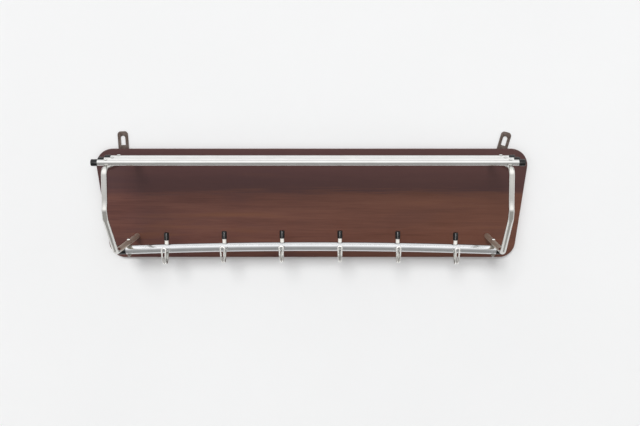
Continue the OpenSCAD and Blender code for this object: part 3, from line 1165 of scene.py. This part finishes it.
@dataclass
class Hooks:
    """The six hooks, each one wire bent double, with a pale sleeve and a black knob on its stem."""

    tubes: TubeTree
    rail: HookRail
    count: int = 6
    wire_radius: float = 0.0018
    wire_gap: float = 0.0003
    wire_steps: int = 24
    bend: float = 0.019
    drop: float = 0.0315
    nose_rise: float = 0.003
    nose: float = 0.0044
    stem_show: float = 0.008
    stem_in: float = 0.012
    sleeve_edge: float = 0.0002
    knob_crown: float = 0.0016
    knob_rim: float = 0.0004
    finish: HookChrome = HookChrome("hook_chrome", bright=(0.92, 0.91, 0.88), dull=(0.84, 0.83, 0.79),
                                    smooth=0.1, smeared=0.2, smear_size=(0.012, 0.012, 0.012),
                                    wave_size=(0.04, 0.04, 0.04))
    sleeves: CreamNylon = CreamNylon()
    knobs: BlackPlastic = BlackPlastic("knob_plastic")

    def path(self, x: float) -> Corners:
        """Corners of a hook's centre line, with a bend radius for each.

        Args:
            x: the stem's place along the rack.

        Returns:
            The corners, from one end of the wire inside the knob to the other.
        """
        half_gap = self.wire_radius + self.wire_gap / 2
        reach = self.nose_rise + self.drop
        root = math.sqrt(reach ** 2 - self.nose ** 2 + half_gap ** 2)
        lean = 2 * math.atan((reach - root) / (self.nose + half_gap))
        stem, level = self.rail.crown.y, self.rail.height(x)
        out, bottom = stem - 2 * self.bend, level - self.drop
        stem_top = level + self.rail.radius + self.stem_show + self.stem_in
        top = level + self.nose_rise + self.nose
        corner_x = self.nose * math.tan(math.pi / 4 + lean / 2)
        half = [(half_gap, stem, stem_top, 0.0), (half_gap, stem, bottom, self.bend),
                (half_gap, out, bottom, self.bend), (corner_x, out, top, self.nose)]
        whole = [(-a, *rest) for a, *rest in half] + half[::-1]
        return [(Vector((x + a, y, z)), bend) for a, y, z, bend in whole]

    def sleeve_rings(self, outer: float, length: float) -> list[Ring]:
        """Outline of a sleeve from its foot, up its outside and down its bore.

        Args:
            outer: the sleeve's outer radius.
            length: its length.

        Returns:
            The rings of the sleeve.
        """
        bore, edge = 2 * self.wire_radius + self.wire_gap / 2, self.sleeve_edge
        outline = [(bore, 0.0), (outer - edge, 0.0), (outer, edge), (outer, length - edge),
                   (outer - edge, length), (bore, length)]
        return [Ring(*point) for point in outline]

    def build(self) -> None:
        """Make all hooks, sleeves and knobs."""
        chrome, nylon, plastic = self.finish.material(), self.sleeves.material(), self.knobs.material()
        for number in range(1, self.count + 1):
            cap, tube = NodeBox.of(f"hook_cap_{number}"), NodeBox.of(f"hook_sleeve_{number}")
            hook = self.tubes.sweep(f"hook_wire_{number}", self.path(cap.centre.x), self.wire_radius, chrome,
                                    self.wire_steps, self.wire_steps)
            finish_piece(hook, ROOT, f"hook_{number}")
            rings = self.sleeve_rings(tube.size.x / 2, tube.size.z)
            turned_piece(f"hook_collar_{number}", rings, Matrix.Translation(tube.foot), nylon,
                         f"hook_sleeve_{number}", hollow=True)
            rings = capped(cap.size.x / 2, cap.size.z, self.knob_rim, self.knob_crown)
            turned_piece(f"hook_knob_{number}", rings, Matrix.Translation(cap.foot), plastic,
                         f"hook_cap_{number}")


@dataclass(frozen=True)
class DomedScrew:
    """Screw with a domed head, a six-sided socket and a threaded end."""

    head_height: float
    socket_radius: float
    shank_radius: float
    pitch: float
    thread_turns: int
    socket_floor: float = 0.0011
    land: float = 1.15
    rim: float = 0.0003
    dome_steps: int = 8

    def rings(self, head: float, length: float) -> list[Ring]:
        """Outline of the screw, with its head standing on height 0.

        Args:
            head: the head's radius.
            length: the shank's length.

        Returns:
            The rings of the screw.
        """
        shank, end = self.shank_radius, -length
        rings = [Ring(0.0, end), Ring(shank - self.pitch / 2, end)]
        for turn in range(self.thread_turns):
            foot = end + turn * self.pitch
            rings += [Ring(shank, foot + self.pitch / 2), Ring(shank - self.pitch / 3, foot + self.pitch)]
        rings += [Ring(shank, end + (self.thread_turns + 0.5) * self.pitch), Ring(shank, 0.0),
                  Ring(head - self.rim, 0.0), Ring(head, self.rim)]
        ball = (head ** 2 + self.head_height ** 2) / (2 * self.head_height)
        land = self.socket_radius * self.land
        for step in range(1, self.dome_steps + 1):
            radius = head + (land - head) * step / self.dome_steps
            rings.append(Ring(radius, self.head_height - ball + math.sqrt(ball ** 2 - radius ** 2)))
        rings += [Ring(self.socket_radius, rings[-1].height, True),
                  Ring(self.socket_radius, self.socket_floor, True), Ring(0.0, self.socket_floor)]
        return rings


@dataclass
class Fasteners:
    """The screws, bolts and nuts that show, and the finish of those that hardly do."""

    grid: FastenerTree
    finish: Chrome = Chrome("fastener_chrome", bright=(0.9, 0.9, 0.88), dull=(0.8, 0.8, 0.78),
                            smear_size=(0.006, 0.006, 0.006), wave_size=(0.02, 0.02, 0.02))
    # The nuts' dark brownish tone is painted shade and a painted reflection of the board
    nut_finish: Chrome = Chrome("nut_steel", bright=(0.36, 0.32, 0.28), dull=(0.26, 0.22, 0.19), smooth=0.28,
                                smeared=0.42, smear_size=(0.004, 0.004, 0.004), wave_size=(0.02, 0.02, 0.02))
    zinc: ZincPlate = ZincPlate()
    shelf_screw: DomedScrew = DomedScrew(head_height=0.0024, socket_radius=0.0018, shank_radius=0.002,
                                         pitch=0.0007, thread_turns=5)
    rail_bolt: DomedScrew = DomedScrew(head_height=0.003, socket_radius=0.002, shank_radius=0.0025,
                                       pitch=0.0008, thread_turns=7)
    nut_bevel: float = 0.0004

    def build(self) -> None:
        """Make the fasteners and give the hidden ones their finish."""
        chrome = self.finish.material()
        self.build_shelf_screws(chrome)
        self.build_rail_bolts(chrome)
        self.build_rail_nuts(self.nut_finish.material())
        zinc = self.zinc.material()
        for node in ("frame_screws", "frame_inserts", "hanger_screws"):
            slots = frame["nodes"][node].data.materials
            slots.clear()
            slots.append(zinc)

    def build_shelf_screws(self, chrome: Material) -> None:
        """Make the domed screws, one where each shelf tube crosses a side frame.

        Args:
            chrome: their material.
        """
        box, tube = NodeBox.of("hat_tube_screws"), NodeBox.of("hat_tube_rear")
        row_pitch = NodeBox.of("hat_tube_middle").centre.y - tube.centre.y
        head = (box.size.y + 2 * row_pitch) / 2
        rings = self.shelf_screw.rings(head, tube.high.z - box.low.z)
        self.grid.place("shelf_screws", "hat_tube_screws", rings, (head, head), tube.high.z,
                        (len(Side), len(Row)), chrome)

    def build_rail_bolts(self, chrome: Material) -> None:
        """Make the bolts that hold the rail.

        Args:
            chrome: their material.
        """
        box = NodeBox.of("rail_bolts")
        head, foot = box.size.y / 2, box.high.z - self.rail_bolt.head_height
        rings = self.rail_bolt.rings(head, foot - box.low.z)
        self.grid.place("rail_bolt_pair", "rail_bolts", rings, (head, head), foot, (len(Side), 1), chrome)

    def build_rail_nuts(self, steel: Material) -> None:
        """Make the nuts under the rail.

        Args:
            steel: their material, darkened with painted shade and a painted reflection of the board.
        """
        box = NodeBox.of("rail_nuts")
        flat = box.size.y / 2
        corner = flat / math.cos(math.pi / 6)
        bore, height, bevel = self.rail_bolt.shank_radius, box.size.z, self.nut_bevel
        rings = [Ring(bore, bevel), Ring(bore + bevel, 0.0), Ring(flat, 0.0), Ring(corner, bevel, True),
                 Ring(corner, height - bevel, True), Ring(flat, height), Ring(bore + bevel, height),
                 Ring(bore, height - bevel)]
        self.grid.place("rail_nut_pair", "rail_nuts", rings, (corner, flat), box.low.z, (len(Side), 1),
                        steel, hollow=True)


@dataclass(frozen=True)
class Lamp:
    """A distant lamp, or a glint that only some pieces show, as a highlight."""

    name: str
    power: float
    spread_deg: float
    level_deg: float
    left_deg: float
    glint_on: tuple[str, ...] = ()
    distance: float = 3.0

    def build(self) -> None:
        """Make the lamp, once its pieces are there."""
        data = bpy.data.lights.new(self.name, "SUN")
        data.energy = self.power
        data.angle = math.radians(self.spread_deg)
        lamp = bpy.data.objects.new(self.name, data)
        rise, left = math.radians(self.level_deg), math.radians(self.left_deg)
        towards = Vector((-math.sin(left) * math.cos(rise), -math.cos(left) * math.cos(rise), math.sin(rise)))
        lamp.rotation_euler = towards.to_track_quat("Z", "Y").to_euler()
        lamp.location = towards * self.distance
        bpy.context.scene.collection.objects.link(lamp)
        if not self.glint_on:
            lamp.visible_glossy = False
            return
        lamp.visible_diffuse = False
        shown_on = bpy.data.collections.new(self.name)
        for piece in bpy.context.scene.objects:
            if piece.name.startswith(self.glint_on):
                shown_on.objects.link(piece)
        lamp.light_linking.receiver_collection = shown_on


@dataclass
class Studio:
    """The pale wall and floor, the light and the camera."""

    wall_colour: Colour = (0.89, 0.895, 0.9)
    wall_mottle: float = 0.4
    wall_fade: float = 0.985
    wall_rough: float = 0.9
    wall_gap: float = 0.0004
    wall_half: float = 4.0
    wall_top: float = 2.2
    floor_colour: Colour = (0.45, 0.445, 0.435)
    floor_mottle: float = 0.5
    floor_fade: float = 0.97
    floor_rough: float = 0.8
    floor_level: float = -1.6
    floor_depth: float = 5.0
    paint_shine: float = 0.1
    lamps: tuple[Lamp, ...] = (
        Lamp("key", 1.57, 18.0, 25.0, 8.0),
        Lamp("plastic_glint", 2.8, 12.0, 2.0, 3.0, ("hook_knob", "end_cap", "rail_end")),
        Lamp("wire_glint", 0.5, 30.0, 6.0, 3.0, ("hook_wire",)),
        Lamp("wire_glint_below", 1.3, 80.0, -50.0, 3.0, ("hook_wire",)))
    room_power: float = 1.45
    room_plain: float = 0.465
    room_greys: tuple[tuple[float, float], ...] = (
        (-1.0, 0.35), (-0.8, 0.28), (-0.4, 0.28), (-0.17, 0.41), (0.0, 0.50), (0.17, 0.66), (0.36, 0.87),
        (0.7, 1.0), (0.87, 0.95), (1.0, 0.78))
    camera_place: tuple[float, float, float] = (0.0592, -2.071, 0.120)
    pitch_deg: float = 8.3
    lens: float = 50.0
    sensor: float = 36.0
    shift_x: float = -0.0271

    def build(self) -> None:
        """Make the stage, the room's light and the camera."""
        self.build_wall()
        self.build_floor()
        self.build_room()
        self.build_camera()

    def light(self) -> None:
        """Make the lamps, once all pieces are there."""
        for lamp in self.lamps:
            lamp.build()

    def paint(self, name: str, colour: Colour, mottle: float, fade: float, rough: float) -> SurfaceBuilder:
        """Start a matt, faintly mottled paint.

        Args:
            name: the paint's name.
            colour: its colour.
            mottle: size of the mottles.
            fade: share of the colour that its darker mottles keep.
            rough: its roughness.

        Returns:
            The paint's builder.
        """
        make = SurfaceBuilder(name, Roughness=rough, Specular_IOR_Level=self.paint_shine)
        cloud = make.spread(make.noise((mottle, mottle, mottle)), 0.0, 1.0)
        make.drive("Base Color", make.blend(cloud, tuple(part * fade for part in colour), colour))
        return make

    def sheet(self, name: str, corners: Sequence[tuple[float, float, float]], finish: Material) -> None:
        """Make one flat sheet of the stage.

        Args:
            name: its name.
            corners: its four corners, anticlockwise as seen from its front.
            finish: its material.
        """
        mesh = bpy.data.meshes.new(name)
        mesh.from_pydata(corners, [], [(0, 1, 2, 3)])
        mesh.materials.append(finish)
        new_piece(name, mesh)

    def build_wall(self) -> None:
        """Make the wall, which lets light and views through from behind."""
        make = self.paint("wall_paint", self.wall_colour, self.wall_mottle, self.wall_fade, self.wall_rough)
        path = make.add("ShaderNodeLightPath").outputs
        behind = make.add("ShaderNodeNewGeometry").outputs["Backfacing"]
        clear = make.maths("MAXIMUM", path["Is Shadow Ray"], path["Is Diffuse Ray"])
        clear = make.maths("MAXIMUM", clear, behind)
        see_through = make.add("ShaderNodeBsdfTransparent").outputs[0]
        mixed = make.add("ShaderNodeMixShader", {0: clear, 1: make.shader.outputs[0], 2: see_through})
        make.fill(make.tree.nodes["Material Output"].inputs["Surface"], mixed.outputs[0])
        half, y, low, high = self.wall_half, self.wall_gap, self.floor_level, self.wall_top
        self.sheet("wall", [(-half, y, low), (half, y, low), (half, y, high), (-half, y, high)],
                   make.material)

    def build_floor(self) -> None:
        """Make the floor."""
        make = self.paint("floor_paint", self.floor_colour, self.floor_mottle, self.floor_fade,
                          self.floor_rough)
        half, depth, z = self.wall_half, self.floor_depth, self.floor_level
        self.sheet("floor", [(-half, -depth, z), (half, -depth, z), (half, depth, z), (-half, depth, z)],
                   make.material)

    def build_room(self) -> None:
        """Make the room: a plain level of light, seen and mirrored as bright above and greyer below."""
        world = bpy.data.worlds.new("room")
        world.use_nodes = True
        bpy.context.scene.world = world
        make = TreeBuilder(world.node_tree)
        way = make.add("ShaderNodeTexCoord").outputs["Generated"]
        rise = make.add("ShaderNodeSeparateXYZ", {0: way}).outputs["Z"]
        sky = make.ramp(make.remap(rise, -1.0, 1.0), [((z + 1) / 2, (g, g, g)) for z, g in self.room_greys])
        path = make.add("ShaderNodeLightPath").outputs
        seen = make.maths("MAXIMUM", path["Is Camera Ray"], path["Is Glossy Ray"])
        seen = make.maths("MAXIMUM", seen, path["Is Transmission Ray"])
        plain = (self.room_plain, self.room_plain, self.room_plain)
        shown = make.tree.nodes["Background"]
        make.fill(shown.inputs["Color"], make.blend(seen, plain, sky))
        make.fill(shown.inputs["Strength"], self.room_power)

    def build_camera(self) -> None:
        """Make the camera at the photograph's viewing angle."""
        data = bpy.data.cameras.new("camera")
        data.lens = self.lens
        data.sensor_width = self.sensor
        data.shift_x = self.shift_x
        camera = bpy.data.objects.new("camera", data)
        camera.location = self.camera_place
        camera.rotation_euler = (math.radians(90 - self.pitch_deg), 0, 0)
        bpy.context.scene.collection.objects.link(camera)
        bpy.context.scene.camera = camera


def main() -> None:
    """Build every part of the rack and its studio."""
    logging.basicConfig(level=logging.INFO, format="%(message)s")
    bpy.context.scene.view_settings.view_transform = "Standard"
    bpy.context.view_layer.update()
    studio = Studio()
    studio.build()
    tubes = TubeTree()
    board = Backboard()
    rail = HookRail(ArchTree())
    board.build()
    HangerPlates().build()
    SideFrames(tubes, board).build()
    HatShelf(tubes).build()
    rail.build()
    Hooks(tubes, rail).build()
    Fasteners(FastenerTree()).build()
    studio.light()


if __name__ == "__main__":
    main()
